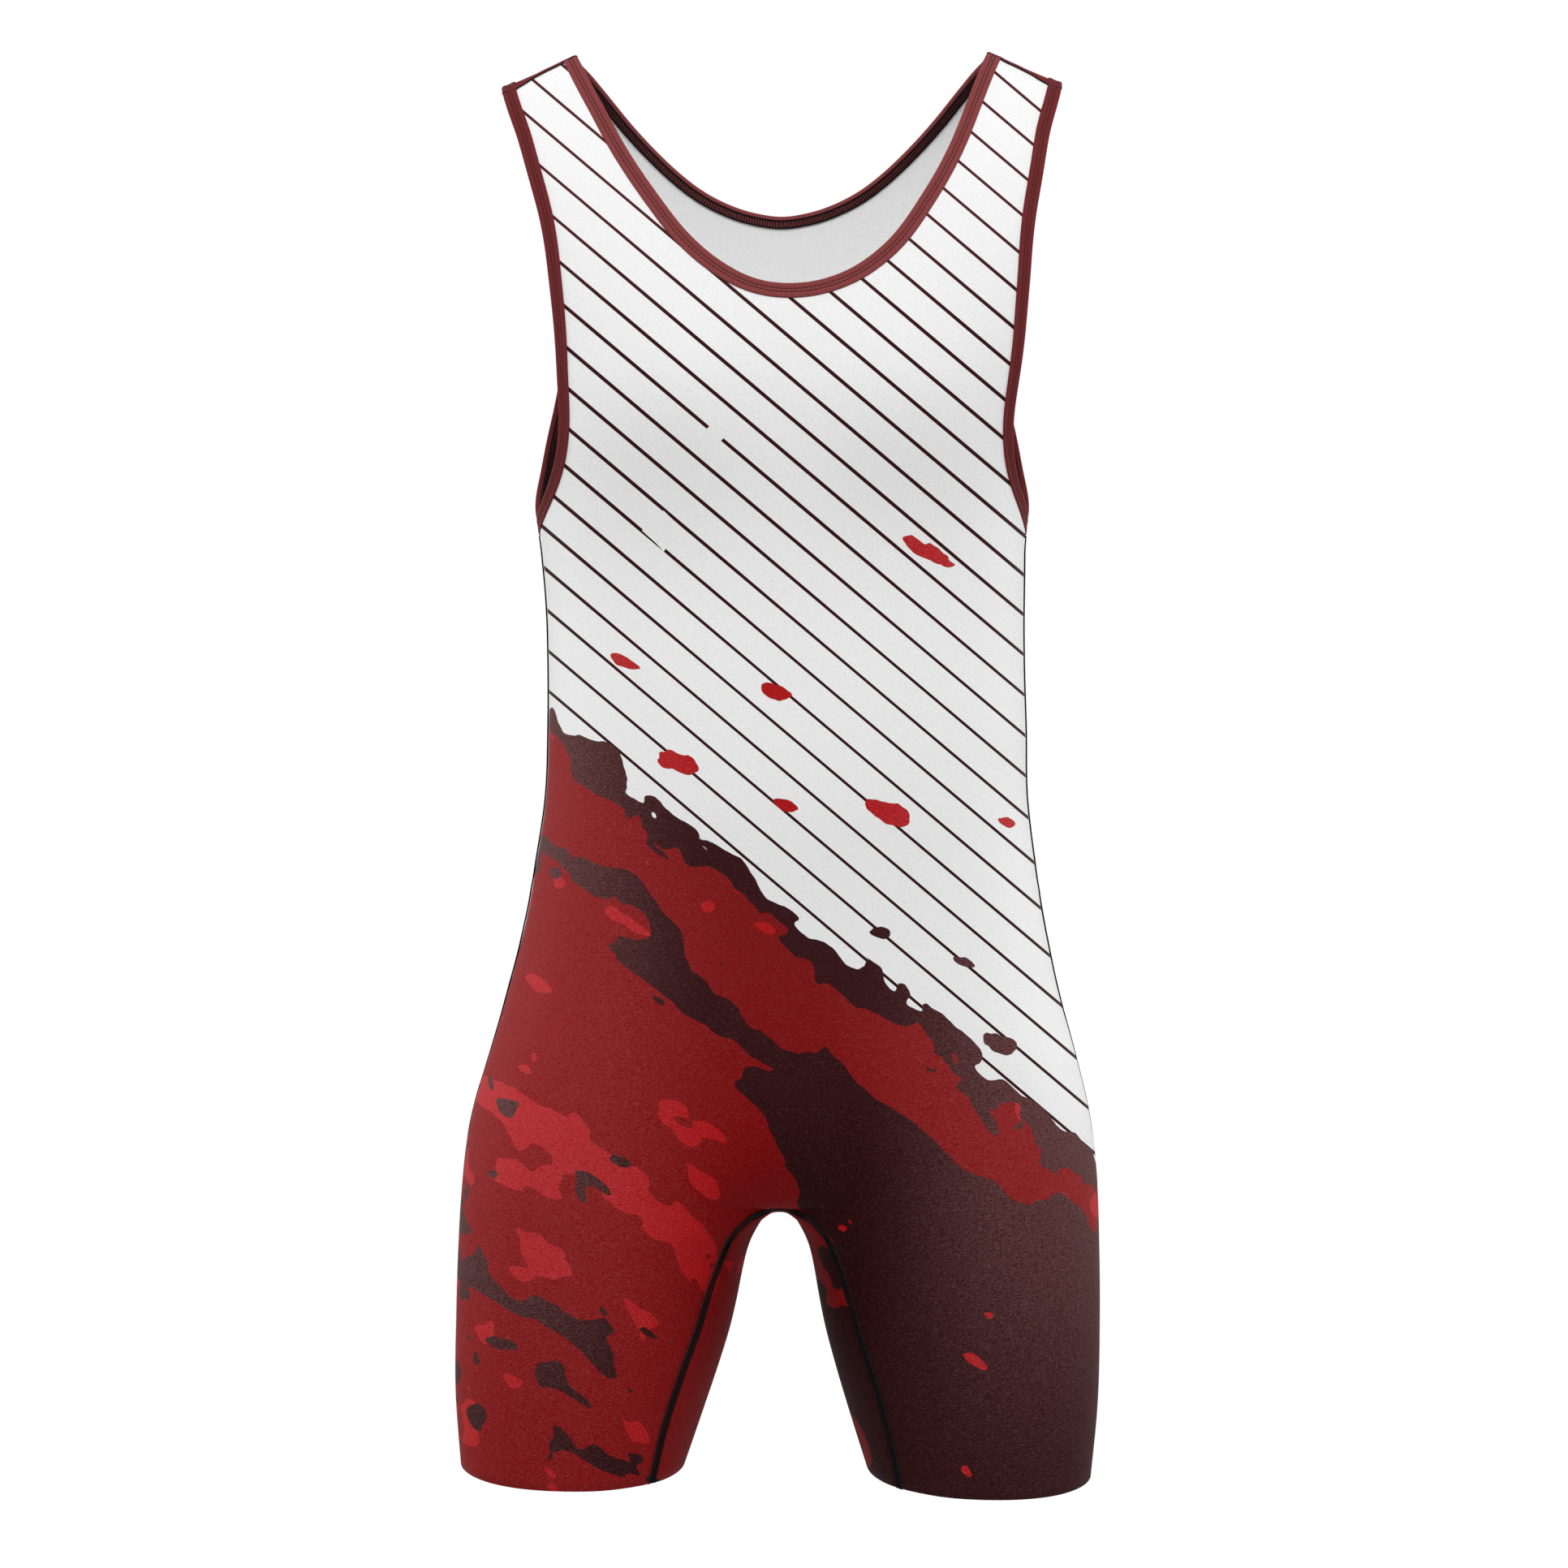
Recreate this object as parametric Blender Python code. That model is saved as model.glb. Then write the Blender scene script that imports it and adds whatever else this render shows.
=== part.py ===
# Wrestling singlet, hollow and filled out as on a wearer's shoulders.
# The front faces -Y, +Z is up and the wearer's left is +X. The origin lies midway between the
# two straps, at the height of their crests, where the wearer's shoulders hold the garment.
# Sizes are in millimetres until the meshes are made.

import math
from bisect import bisect_right

import bpy
import bmesh
from mathutils import Vector
from mathutils.kdtree import KDTree

MM = 0.001

# Cloth and tape
CLOTH_WALL = 1.2
TAPE_WALL = 1.0
TAPE_WIDTH = 8.0
GAP = 0.3

# Landmarks of the cut, as heights under the crests of the straps
STRAP_INNER_X = 121.2
SIDE_SEAM_TOP = -276.0
CROTCH_FRONT = -674.0
CROTCH_BACK = -676.0
CROTCH_SAG = 5.0
SIDE_AT_CROTCH = -640.0
HEM = -831.0

# Between the thighs the middle of each face bends under: how far round the thigh's inner
# quarter the middle lies, from 0 where it is flat across to 1 at the innermost line.
# The cloth bridges the hollow with the given softness, which ends a little under the crotch.
MIDDLE_FRONT = ((-560, 0), (-600, 0.05), (-620, 0.17), (-640, 0.40), (-657, 0.66), (-674, 0.885))
MIDDLE_BACK = ((-545, 0), (-600, 0.1), (-620, 0.22), (-640, 0.41), (-657, 0.64), (-676, 0.91))
BRIDGE = 14.0
LEGS_APART = -705.0
ARCH_RISE = 5.0

# Small differences between the two sides, as millimetres of rise at the side
SHOULDER_TILT = 1.2
HEM_TILT = 3.0
TILT_REACH = 150.0
SHOULDER_TILT_END = 280.0
HEM_TILT_START = 640.0

# The front's armhole edges stand a little to the wearer's left, between these heights
STRAP_DRIFT = 4.2
STRAP_DRIFT_DOWN = (10.0, 150.0)
STRAP_DRIFT_END = (170.0, 250.0)
STRAP_DRIFT_OUT = (60.0, 130.0)
STRAP_DRIFT_FORE = (0.0, 60.0)

# A row for each section, from the crests of the straps down to the hems. front and back are
# depths from the mid-plane, width is half the breadth, back_flare widens the back alone,
# slope is the fall of the shoulder outwards, leg_centre is where the leg is deepest,
# square is the exponent of the section's curve, and lean moves the section sideways.
SECTION_COLUMNS = ("z", "front", "back", "width", "back_flare", "slope", "leg_centre", "square", "lean")
SECTIONS = (
    (0, 0, 0, 215, 0, 0.414, 0, 2.4, 0),
    (-2, 13, 13, 214.5, 0, 0.41, 0, 2.4, 0),
    (-7, 24, 24.5, 213, 0, 0.395, 0, 2.4, 0),
    (-18, 37, 40, 211, -1, 0.36, 0, 2.4, 0),
    (-38, 50.5, 57.5, 207, -2, 0.29, 0, 2.4, 0),
    (-67, 67.5, 73.5, 201, -4, 0.19, 0, 2.4, 0),
    (-98, 82, 85, 193, -6, 0.1, 0, 2.4, 0),
    (-127, 92.5, 93, 184, -7, 0.03, 0, 2.4, 0),
    (-160, 100.5, 99, 174, -3.5, 0, 0, 2.4, 0),
    (-200, 104, 103.5, 161.5, 2, 0, 0, 2.4, 0),
    (-240, 101.5, 103.5, 151, 5, 0, 0, 2.4, 0),
    (-262, 98.8, 102, 146, 4, 0, 0, 2.4, 0.1),
    (-276, 97.2, 100.6, 143.8, 0, 0, 0, 2.4, 0.2),
    (-320, 94.2, 95, 140.4, 0, 0, 0, 2.4, 1.8),
    (-360, 93.2, 89, 139.8, 0, 0, 0, 2.4, 2.5),
    (-400, 93.3, 84, 140.4, 0, 0, 0, 2.4, 3),
    (-437, 94, 83, 141.4, 0, 0, 0, 2.4, 2.6),
    (-475, 94, 88, 146.4, 0, 0, 0, 2.4, 2),
    (-515, 95, 99, 153.2, 0, 0, 10, 2.4, 1.5),
    (-552, 96.5, 111, 162, 0, 0, 28, 2.35, 0.7),
    (-590, 96.5, 119, 172.8, 0, 0, 54, 2.35, 0.2),
    (-620, 95, 119, 181, 0, 0, 75, 2.3, -0.7),
    (-658, 92.5, 111, 186.3, 0, 0, 95, 2.3, -1.2),
    (-700, 90, 100, 188.5, 0, 0, 103, 2.25, -1.8),
    (-750, 86, 91, 189.4, 0, 0, 108.7, 2.2, -2.4),
    (-790, 81, 84, 189, 0, 0, 114.5, 2.2, -3.1),
    (-831, 76, 78, 185.5, 0, 0, 119.5, 2.2, -3.6),
)

# Edges of the cut as seen from the front, half of each: distance from the middle, and height
NECK_FRONT_LEFT = ((121.2, 0), (114.5, -17), (106.4, -37.8), (94.5, -67.4), (78.6, -98.2),
                   (59, -126.9), (37.3, -143.9), (16, -151.2), (0, -151.9))
NECK_FRONT_RIGHT = ((121.2, 0), (113.8, -17), (103.9, -37.8), (89.4, -67.4), (69.9, -98.2),
                    (47.4, -127.2), (27, -143.4), (12.5, -149.9), (0, -151.9))
NECK_BACK = ((121.2, 0), (115.8, -3), (110.4, -7.6), (103.5, -14.2), (96.3, -21.8),
             (88.4, -29.8), (79.6, -38.2), (69.8, -46.9), (58.4, -56), (46, -64), (33, -70),
             (17, -75), (0, -77.1))
ARMHOLE_FRONT_LEFT = ((165, -18.1), (162.5, -28.6), (154.6, -52.4), (149.2, -73.4),
                      (144.4, -93.6), (140, -113), (136.5, -141.8), (133.8, -170),
                      (131.7, -197.5), (130.3, -216), (130.8, -231), (132.6, -245.5),
                      (136.1, -257), (140.4, -267), (143.8, -276))
ARMHOLE_FRONT_RIGHT = ((165, -18.1), (162.5, -28.6), (154.6, -52.4), (149.2, -73.4),
                       (144.4, -93.6), (140, -113), (136.3, -141.8), (133, -170),
                       (130.2, -197.5), (127.8, -216), (127, -230), (128.5, -243),
                       (132.2, -254.5), (137.5, -265), (143.8, -276))
ARMHOLE_BACK = ((165, -18.1), (161.5, -27), (153, -50), (145.5, -78), (139.5, -108),
                (136, -140), (136, -165), (138.2, -187), (143.4, -216), (146.4, -239),
                (148, -252), (147.9, -260.5), (146.4, -268.5), (143.8, -276))
INSEAM = ((0, -674), (9, -674.6), (16, -677.2), (24.9, -685.6), (31.8, -700.5), (38.4, -718),
          (45.9, -744), (56.8, -776), (66, -808), (70.7, -831))

# The neck and the armhole edge of each half of each face; the wearer's left is the side 1
# Rows and columns of the skin
FRONT_STRAP_ROWS = 18
BACK_STRAP_ROWS = 16
SEAM_SHARE = 0.065
BODY_ROWS = 24
LEG_ROWS = 10
LEG_ROW_GROWTH = 1.4
COLUMNS = 9
INNER_COLUMNS = 6
EDGE_DETAIL = 10
MIDDLE_DETAIL = 120
THIGH_DETAIL = 80
WELD = 0.05
STEP = 0.01
TAPE_FOLD_ROUND = 0.8
TAPE_CORNER = 0.6
HALVINGS = 40
SLIDE_ROUNDS = 6
SHARP_ANGLE = 50.0

# Colours and roughness of the two knits and the tape
WHITE_KNIT = (0.78, 0.78, 0.78)
RED_KNIT = (0.2, 0.02, 0.02)
BRICK_TAPE = (0.19, 0.045, 0.045)
KNIT_ROUGHNESS = 0.7
TAPE_ROUGHNESS = 0.8

FRONT = "front"
BACK = "back"
FRONT_PIECE = 0
BACK_PIECE = 1

# The neck and the armhole edge of each half of each face; the wearer's left is side 1
EDGES = {
    (FRONT, 1): (NECK_FRONT_LEFT, ARMHOLE_FRONT_LEFT),
    (FRONT, -1): (NECK_FRONT_RIGHT, ARMHOLE_FRONT_RIGHT),
    (BACK, 1): (NECK_BACK, ARMHOLE_BACK),
    (BACK, -1): (NECK_BACK, ARMHOLE_BACK),
}


def mix(a, b, share):
    return a + (b - a) * share


def ease(value, start, end):
    share = min(1.0, max(0.0, (value - start) / (end - start)))
    return share * share * (3 - 2 * share)


def curve_slope(xs, ys, i):
    left = (ys[i] - ys[i - 1]) / (xs[i] - xs[i - 1])
    right = (ys[i + 1] - ys[i]) / (xs[i + 1] - xs[i])
    reach = xs[i + 1] - xs[i - 1]
    return (left * (xs[i + 1] - xs[i]) + right * (xs[i] - xs[i - 1])) / reach


class Curve:
    # A smooth curve through the values ys at the places xs, with given slopes at its ends
    def __init__(self, xs, ys, first_slope=None, last_slope=None):
        self.xs = list(xs)
        self.ys = list(ys)
        inner = [curve_slope(self.xs, self.ys, i) for i in range(1, len(self.xs) - 1)]
        if first_slope is None:
            first_slope = (self.ys[1] - self.ys[0]) / (self.xs[1] - self.xs[0])
        if last_slope is None:
            last_slope = (self.ys[-1] - self.ys[-2]) / (self.xs[-1] - self.xs[-2])
        self.slopes = [first_slope] + inner + [last_slope]

    def __call__(self, x):
        i = min(max(bisect_right(self.xs, x) - 1, 0), len(self.xs) - 2)
        span = self.xs[i + 1] - self.xs[i]
        t = (x - self.xs[i]) / span
        start = self.ys[i] * (1 + 2 * t) * (1 - t) ** 2
        end = self.ys[i + 1] * (3 - 2 * t) * t * t
        leave = self.slopes[i] * span * t * (1 - t) ** 2
        arrive = self.slopes[i + 1] * span * t * t * (t - 1)
        return start + end + leave + arrive


class Face:
    # The front or the back of the filled-out garment. A place on it is given by two numbers:
    # turn, from 0 at the middle to 1 at the side, and run, the length down from the crest.
    def __init__(self, name):
        self.name = name
        self.sign = -1 if name == FRONT else 1
        columns = {key: [row[i] for row in SECTIONS] for i, key in enumerate(SECTION_COLUMNS)}
        depths = columns[name]
        runs = [0.0]
        for i in range(1, len(SECTIONS)):
            fall = columns["z"][i] - columns["z"][i - 1]
            runs.append(runs[-1] + math.hypot(fall, depths[i] - depths[i - 1]))
        self.length = runs[-1]
        middle = MIDDLE_FRONT if name == FRONT else MIDDLE_BACK
        self.middle = Curve([-z for z, q in middle], [q for z, q in middle], first_slope=0.0)
        self.middle_top, self.crotch = middle[0][0], middle[-1][0]
        self.level = Curve(runs, columns["z"], first_slope=0.0)
        self.deepest = Curve(runs, depths, first_slope=1.0)
        falls = [-z for z in columns["z"]]
        self.curves = {}
        for key in ("width", "slope", "leg_centre", "square", "lean"):
            self.curves[key] = Curve(falls, columns[key])
        armpit = columns["z"].index(SIDE_SEAM_TOP) + 1
        self.flare = Curve(falls[:armpit], columns["back_flare"][:armpit], last_slope=0.0)

    def value(self, key, run):
        return self.curves[key](-self.level(run))

    def width(self, run):
        flared = self.name == BACK and self.level(run) > SIDE_SEAM_TOP
        return self.value("width", run) + (self.flare(-self.level(run)) if flared else 0.0)

    def height(self, x, run):
        return self.level(run) - self.value("slope", run) * (x - STRAP_INNER_X)

    def run_at(self, x, z):
        low, high = 0.0, self.length
        for _ in range(HALVINGS):
            middle = (low + high) / 2
            if self.height(x, middle) > z:
                low = middle
            else:
                high = middle
        return (low + high) / 2

    def depth(self, x, run):
        z = self.level(run)
        width = self.width(run)
        centre = self.value("leg_centre", run)
        square = self.value("square", run)
        if x >= centre:
            reach = (x - centre) / (width - centre)
        elif z > self.middle_top:
            reach = 0.0
        else:
            apart = ease(-z, -self.crotch, -LEGS_APART)
            bridge = BRIDGE * (1 - apart)
            round_share = self.middle(-max(z, self.crotch)) / (centre - BRIDGE)
            curl = mix(round_share, 1 / (width - centre), apart)
            reach = (centre - math.hypot(x, bridge)) * curl
        reach = min(1.0, max(0.0, reach))
        return self.deepest(run) * (1 - reach ** square) ** (1 / square)

    def place(self, x, run):
        return Vector((x, self.sign * self.depth(x, run), self.height(x, run)))

    def turn_of(self, x, run):
        return math.asin(min(1.0, x / self.width(run))) / (math.pi / 2)

    def spot(self, turn, run):
        return self.place(self.width(run) * math.sin(turn * math.pi / 2), run)

    def across(self, turn, run):
        low = max(0.0, turn - STEP)
        high = min(1.0, turn + STEP)
        return (self.spot(high, run) - self.spot(low, run)) / (high - low)

    def down(self, turn, run):
        return (self.spot(turn, run + STEP) - self.spot(turn, run - STEP)) / (2 * STEP)

    def slide(self, turn, run, target):
        # The place on the face that lies nearest to the target, found from a near guess
        for _ in range(SLIDE_ROUNDS):
            here = self.spot(turn, run)
            across = self.across(turn, run)
            down = self.down(turn, run)
            miss = target - here
            aa, ad, dd = across.dot(across), across.dot(down), down.dot(down)
            am, dm = across.dot(miss), down.dot(miss)
            whole = aa * dd - ad * ad
            turn = min(1.0, max(0.0, turn + (am * dd - dm * ad) / whole))
            run = max(0.0, run + (dm * aa - am * ad) / whole)
        return turn, run


def shares_of(count):
    return [i / count for i in range(count + 1)]


def strap_shares(count):
    # The first two rows lie on the crest and at half of the seam's share, the third at the seam
    rest = [mix(SEAM_SHARE, 1, share) for share in shares_of(count - 2)]
    return [0.0, SEAM_SHARE / 2] + rest


def pick_along(points, shares):
    # Where the given shares of a line's length fall: an index with its fraction, for each
    lengths = [0.0]
    for a, b in zip(points, points[1:]):
        lengths.append(lengths[-1] + (b - a).length)
    picks = []
    for share in shares:
        wanted = share * lengths[-1]
        i = min(max(bisect_right(lengths, wanted) - 1, 0), len(points) - 2)
        picks.append((i, (wanted - lengths[i]) / (lengths[i + 1] - lengths[i])))
    return picks


def edge_on(face, outline, shares):
    # An edge of the cut laid on its face: a (turn, run) for each share of its real length
    chords = [0.0]
    for (xa, za), (xb, zb) in zip(outline, outline[1:]):
        chords.append(chords[-1] + math.hypot(xb - xa, zb - za))
    x_of = Curve(chords, [x for x, z in outline])
    z_of = Curve(chords, [z for x, z in outline])
    places = []
    for share in shares_of(EDGE_DETAIL * len(outline)):
        x = max(0.0, x_of(share * chords[-1]))
        run = face.run_at(x, z_of(share * chords[-1]))
        places.append((face.turn_of(x, run), run))
    picks = pick_along([face.spot(*place) for place in places], shares)
    return [tuple(mix(a, b, t) for a, b in zip(places[i], places[i + 1])) for i, t in picks]


def inward_line(face, edge, side_of_cloth):
    # The line one tape width in from an edge. Its first point stays on the crest, and its last
    # one straight under the end of the edge.
    first_x = face.width(0.0) * math.sin(edge[0][0] * math.pi / 2)
    level_width = TAPE_WIDTH * math.cos(math.atan(face.value("slope", 0.0)))
    line = [(face.turn_of(first_x + side_of_cloth * level_width, 0.0), 0.0)]
    for before, (turn, run), after in zip(edge, edge[1:], edge[2:]):
        across = face.across(turn, run)
        normal = across.cross(face.down(turn, run)).normalized()
        inward = normal.cross(face.spot(*after) - face.spot(*before)).normalized()
        if inward.dot(across) * side_of_cloth < 0:
            inward.negate()
        line.append(face.slide(turn, run, face.spot(turn, run) + inward * TAPE_WIDTH))
    turn, run = edge[-1]
    under = face.spot(turn, run) + face.down(turn, run).normalized() * TAPE_WIDTH
    line.append((turn, face.slide(turn, run, under)[1]))
    return line


def rows_between(starts, ends):
    # Rows that leave the middle on a slant and reach the side level
    rows = []
    for (turn_a, run_a), (turn_b, run_b) in zip(starts, ends):
        first, last = (math.sin(turn * math.pi / 2) for turn in (turn_a, turn_b))
        row = []
        for share in shares_of(COLUMNS):
            turn = mix(turn_a, turn_b, share)
            level = (math.sin(turn * math.pi / 2) - first) / (last - first)
            row.append((turn, mix(run_a, run_b, level)))
        rows.append(row)
    return rows


def centre_line(face, first_run, rows):
    # Places down the middle from the neck tape to the crotch
    last_run = face.run_at(0, CROTCH_FRONT if face.name == FRONT else CROTCH_BACK)
    places = [(0.0, mix(first_run, last_run, share)) for share in shares_of(MIDDLE_DETAIL)]
    picks = pick_along([face.spot(*place) for place in places], shares_of(rows))
    return [(0.0, mix(places[i][1], places[i + 1][1], t)) for i, t in picks]


def leg_shares():
    return [(k / LEG_ROWS) ** LEG_ROW_GROWTH for k in range(LEG_ROWS + 1)]


def side_line(face, first_z):
    # Places down the side seam: body rows, then leg rows. The shoulder's slope has ended above
    # them, so the run to a height is the same all across.
    heights = [mix(first_z, SIDE_AT_CROTCH, share) for share in shares_of(BODY_ROWS)]
    heights += [mix(SIDE_AT_CROTCH, HEM, share) for share in shares_of(LEG_ROWS)[1:]]
    return [(1.0, face.run_at(0, z)) for z in heights]


def inner_edge(face):
    # The line down the leg where the inner thigh begins: the inseam in front, its match behind
    fall = CROTCH_FRONT - (CROTCH_FRONT if face.name == FRONT else CROTCH_BACK)
    outline = [(x, z - fall * ease(-z, -HEM, -CROTCH_FRONT)) for x, z in INSEAM]
    return edge_on(face, outline, leg_shares())


class Skin:
    # The outside of the whole garment as one welded sheet, marked with the piece of each facet
    def __init__(self):
        self.mesh = bmesh.new()
        self.mark = self.mesh.faces.layers.int.new("piece")

    def add(self, rows, piece_of_row, side, flip):
        grid = [[self.mesh.verts.new(posed(point, side)) for point in row] for row in rows]
        for r in range(len(rows) - 1):
            for c in range(len(rows[0]) - 1):
                corners = [grid[r][c], grid[r + 1][c], grid[r + 1][c + 1], grid[r][c + 1]]
                if flip != (side < 0):
                    corners.reverse()
                facet = self.mesh.faces.new(corners)
                facet[self.mark] = piece_of_row(r)

    def weld(self):
        bmesh.ops.remove_doubles(self.mesh, verts=self.mesh.verts, dist=WELD)
        self.mesh.normal_update()
        self.mesh.verts.ensure_lookup_table()
        self.tree = KDTree(len(self.mesh.verts))
        for vert in self.mesh.verts:
            self.tree.insert(vert.co, vert.index)
        self.tree.balance()

    def vert_at(self, point):
        return self.mesh.verts[self.tree.find(point)[1]]


def posed(point, side, lean=Face(FRONT).curves["lean"]):
    # A point of the even half, put on its side with the small lean and tilts of the real one
    fall = -point.z
    drift = STRAP_DRIFT * ease(fall, *STRAP_DRIFT_DOWN) * (1 - ease(fall, *STRAP_DRIFT_END))
    drift *= ease(point.x, *STRAP_DRIFT_OUT) * ease(-point.y, *STRAP_DRIFT_FORE)
    shoulder = SHOULDER_TILT * (1 - ease(fall, 0, SHOULDER_TILT_END))
    hem = -HEM_TILT * ease(fall, HEM_TILT_START, -HEM)
    x = side * point.x
    rise = (shoulder + hem) * x / TILT_REACH
    return Vector((x + lean(fall) + drift, point.y, point.z + rise))


def half_face(face, neck, armhole, strap_rows):
    # One half of a face: its rows, and the strips under the tapes of its neck and armhole
    shares = strap_shares(strap_rows)
    neck_edge = edge_on(face, neck, shares)
    arm_edge = edge_on(face, armhole, shares)
    neck_edge[0] = (neck_edge[0][0], 0.0)
    arm_edge[0] = (arm_edge[0][0], 0.0)
    neck_edge[-1] = (0.0, neck_edge[-1][1])
    arm_edge[-1] = (1.0, arm_edge[-1][1])
    neck_line = inward_line(face, neck_edge, 1)
    arm_line = inward_line(face, arm_edge, -1)
    side_top = SIDE_SEAM_TOP - TAPE_WIDTH
    arm_line[-1] = (1.0, face.run_at(0, side_top))
    middle = centre_line(face, neck_line[-1][1], BODY_ROWS)
    starts = neck_line[:-1] + middle + inner_edge(face)[1:]
    ends = arm_line[:-1] + side_line(face, side_top)
    rows = [[face.spot(*place) for place in row] for row in rows_between(starts, ends)]
    neck_strip = [[face.spot(*a), face.spot(*b)] for a, b in zip(neck_edge, neck_line)]
    arm_strip = [[face.spot(*a), face.spot(*b)] for a, b in zip(arm_line, arm_edge)]
    return rows, neck_strip, arm_strip


def build_skin():
    # Lays out both faces and the inner thighs, and returns the skin and the taped strips
    skin = Skin()
    taped = {}
    inner_lines = {}
    for name, own, strap_rows in ((FRONT, FRONT_PIECE, FRONT_STRAP_ROWS),
                                  (BACK, BACK_PIECE, BACK_STRAP_ROWS)):
        face = Face(name)

        def piece_of_row(row, own=own):
            # The back reaches over the crest to the shoulder seam, two rows down the front
            return BACK_PIECE if row < 2 else own

        for side in (1, -1):
            rows, neck_strip, arm_strip = half_face(face, *EDGES[name, side], strap_rows)
            for block in (rows, neck_strip, arm_strip):
                skin.add(block, piece_of_row, side, flip=name == BACK)
            taped["neck", name, side] = neck_strip
            taped["armhole", name, side] = [[b, a] for a, b in arm_strip]
        inner_lines[name] = [row[0] for row in rows[strap_rows + BODY_ROWS:]]
    thigh = inner_thigh(inner_lines[FRONT], inner_lines[BACK])
    for side in (1, -1):
        skin.add(thigh, lambda r: BACK_PIECE, side, flip=True)
    skin.weld()
    return skin, taped


def inner_thigh(front_line, back_line):
    # Columns that leave the middle under the crotch and run down the inner thigh as an arch
    faces = {FRONT: Face(FRONT), BACK: Face(BACK)}
    front_at = Curve([-p.z for p in front_line], [p.x for p in front_line])
    back_at = Curve([-p.z for p in back_line], [p.x for p in back_line])
    columns = []
    for m in range(INNER_COLUMNS + 1):
        t = m / INNER_COLUMNS
        if m == 0:
            columns.append(front_line)
            continue
        if m == INNER_COLUMNS:
            columns.append(back_line)
            continue
        top = mix(CROTCH_FRONT, CROTCH_BACK, t) - CROTCH_SAG * 4 * t * (1 - t)
        points = []
        for share in shares_of(THIGH_DETAIL):
            z = mix(top, HEM, share ** 2)
            front_x = front_at(-min(z, CROTCH_FRONT - STEP))
            back_x = back_at(-min(z, CROTCH_BACK - STEP))
            front_y = -faces[FRONT].depth(front_x, faces[FRONT].run_at(front_x, z))
            back_y = faces[BACK].depth(back_x, faces[BACK].run_at(back_x, z))
            y = mix(front_y, back_y, t)
            x = thigh_x(faces, y, z)
            x += (front_x - thigh_x(faces, front_y, z)) * (1 - t) ** 2
            x += (back_x - thigh_x(faces, back_y, z)) * t ** 2
            drop = min(1.0, (top - z) / ARCH_RISE)
            points.append(Vector((x * math.sqrt(1 - (1 - drop) ** 2), y, z)))
        picks = pick_along(points, leg_shares())
        columns.append([points[i].lerp(points[i + 1], f) for i, f in picks])
    return [list(row) for row in zip(*columns)]


def thigh_x(faces, y, z):
    # Where the inner side of the leg's round section lies at depth y
    face = faces[FRONT] if y < 0 else faces[BACK]
    run = face.run_at(0, z)
    centre = face.value("leg_centre", run)
    square = face.value("square", run)
    reach = min(1.0, abs(y) / face.deepest(run))
    return centre - (face.width(run) - centre) * (1 - reach ** square) ** (1 / square)


def inward_at(vert, edge, facet):
    # The direction in the sheet, square to a border edge, that points into the facet
    along = edge.other_vert(vert).co - vert.co
    inward = vert.normal.cross(along).normalized()
    if inward.dot(facet.calc_center_median() - vert.co) < 0:
        inward.negate()
    return inward


def border_pull(vert, edge):
    # How far a border draws in: half the gap at a seam, the tape's fold at a taped edge
    if len(edge.link_faces) > 1:
        return GAP / 2
    if max(end.co.z for end in edge.verts) < HEM + 2 * HEM_TILT + TAPE_WIDTH:
        return 0.0
    return TAPE_WALL + GAP


def crosses_short(a, b, c, d):
    # Whether the way from a to c is the shorter one over the four corners
    return (a.co - c.co).length_squared < (b.co - d.co).length_squared


def halves_of(corners):
    # The two triangles of a four-cornered facet, cut along its shorter way
    if len(corners) == 3:
        return [corners]
    a, b, c, d = corners
    if crosses_short(a, b, c, d):
        return [[a, b, c], [a, c, d]]
    return [[b, c, d], [b, d, a]]


def panel_mesh(skin, piece):
    # One panel as a closed wall: its part of the skin, the same moved in, and the cut edges
    facets = [f for f in skin.mesh.faces if f[skin.mark] == piece]
    own = set(facets)
    pulls = {}
    borders = []
    for facet in facets:
        for loop in facet.loops:
            if any(f in own for f in loop.edge.link_faces if f is not facet):
                continue
            borders.append((loop.vert.index, loop.link_loop_next.vert.index))
            pull = border_pull(loop.vert, loop.edge)
            for vert in loop.edge.verts:
                pulls.setdefault(vert.index, {}).setdefault(pull, []).append(
                    inward_at(vert, loop.edge, facet))
    used = sorted({v.index for f in facets for v in f.verts})
    mesh = bmesh.new()
    outer, inner = {}, {}
    for index in used:
        vert = skin.mesh.verts[index]
        point = vert.co.copy()
        for pull, directions in pulls.get(index, {}).items():
            mean = sum(directions, Vector()) / len(directions)
            point += mean.normalized() * pull
        outer[index] = mesh.verts.new(point * MM)
        inner[index] = mesh.verts.new((point - vert.normal * CLOTH_WALL) * MM)
    for facet in facets:
        for corners in halves_of(list(facet.verts)):
            mesh.faces.new([outer[vert.index] for vert in corners])
            mesh.faces.new([inner[vert.index] for vert in reversed(corners)])
    for a, b in borders:
        mesh.faces.new((outer[b], outer[a], inner[a], inner[b]))
    return mesh


# The tape's section: how far in from the edge as a share of its width, and the height over the
# cloth's outside. It runs round the outer lip, the fold and the inner lip.
def tape_section():
    over = GAP + TAPE_WALL
    under = -CLOTH_WALL - GAP
    fold = TAPE_WALL / TAPE_WIDTH
    corner = TAPE_CORNER / TAPE_WIDTH
    bottom = under - TAPE_WALL
    return ((1, GAP), (1, over), (corner, over), (0, over - TAPE_FOLD_ROUND),
            (0, bottom + TAPE_FOLD_ROUND), (corner, bottom), (1, bottom),
            (1, under), (fold, under), (fold, GAP))


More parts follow.
